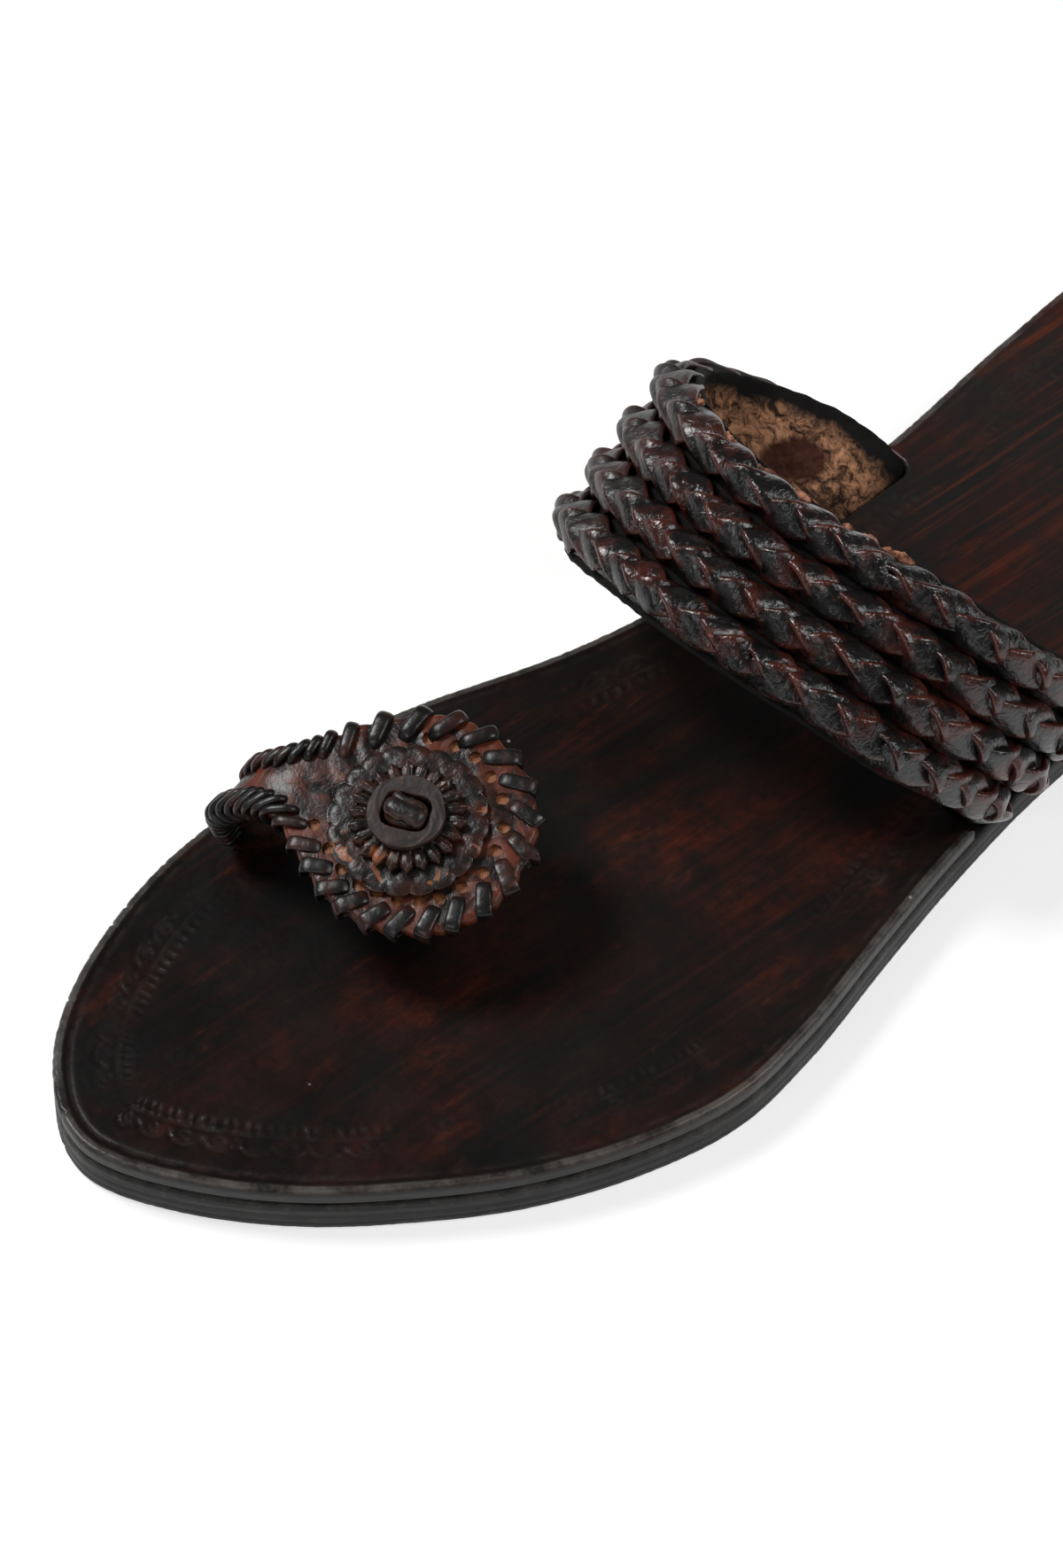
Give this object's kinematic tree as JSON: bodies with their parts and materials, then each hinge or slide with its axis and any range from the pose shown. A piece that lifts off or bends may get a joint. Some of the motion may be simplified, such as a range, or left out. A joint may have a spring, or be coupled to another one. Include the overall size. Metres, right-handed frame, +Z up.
{
  "type": "kolhapuri sandal",
  "caption": "Flat stacked-leather sandal with a plaited band over the instep and a thong-laced toe loop that carries a layered rosette.",
  "frame": {"origin": "on the floor, under the middle of the sandal's bounding box", "axes": "+Y from the toe to the heel, +X towards the little toe, +Z up"},
  "size_m": [0.094, 0.268, 0.0506],
  "materials": {
    "sole_leather": "black burnished edge, satin",
    "footbed_leather": "dark red-brown burnished, soft sheen",
    "plaited_leather": "waxed near-black brown with red-brown wear",
    "loop_leather": "waxed, rubbed to red-brown",
    "rosette_leather": "waxed, rubbed on raised edges",
    "washer_leather": "matt brown",
    "thong_leather": "black waxed, glossy"
  },
  "bodies": {
    "root": {"outsole": "sole_leather", "insole": "footbed_leather", "instep_strap": "plaited_leather", "toe_loop": "loop_leather", "rosette_scalloped_disc": "rosette_leather", "rosette_pinked_disc": "rosette_leather", "rosette_washer": "washer_leather", "toe_thong": "thong_leather"}
  },
  "joints": []
}
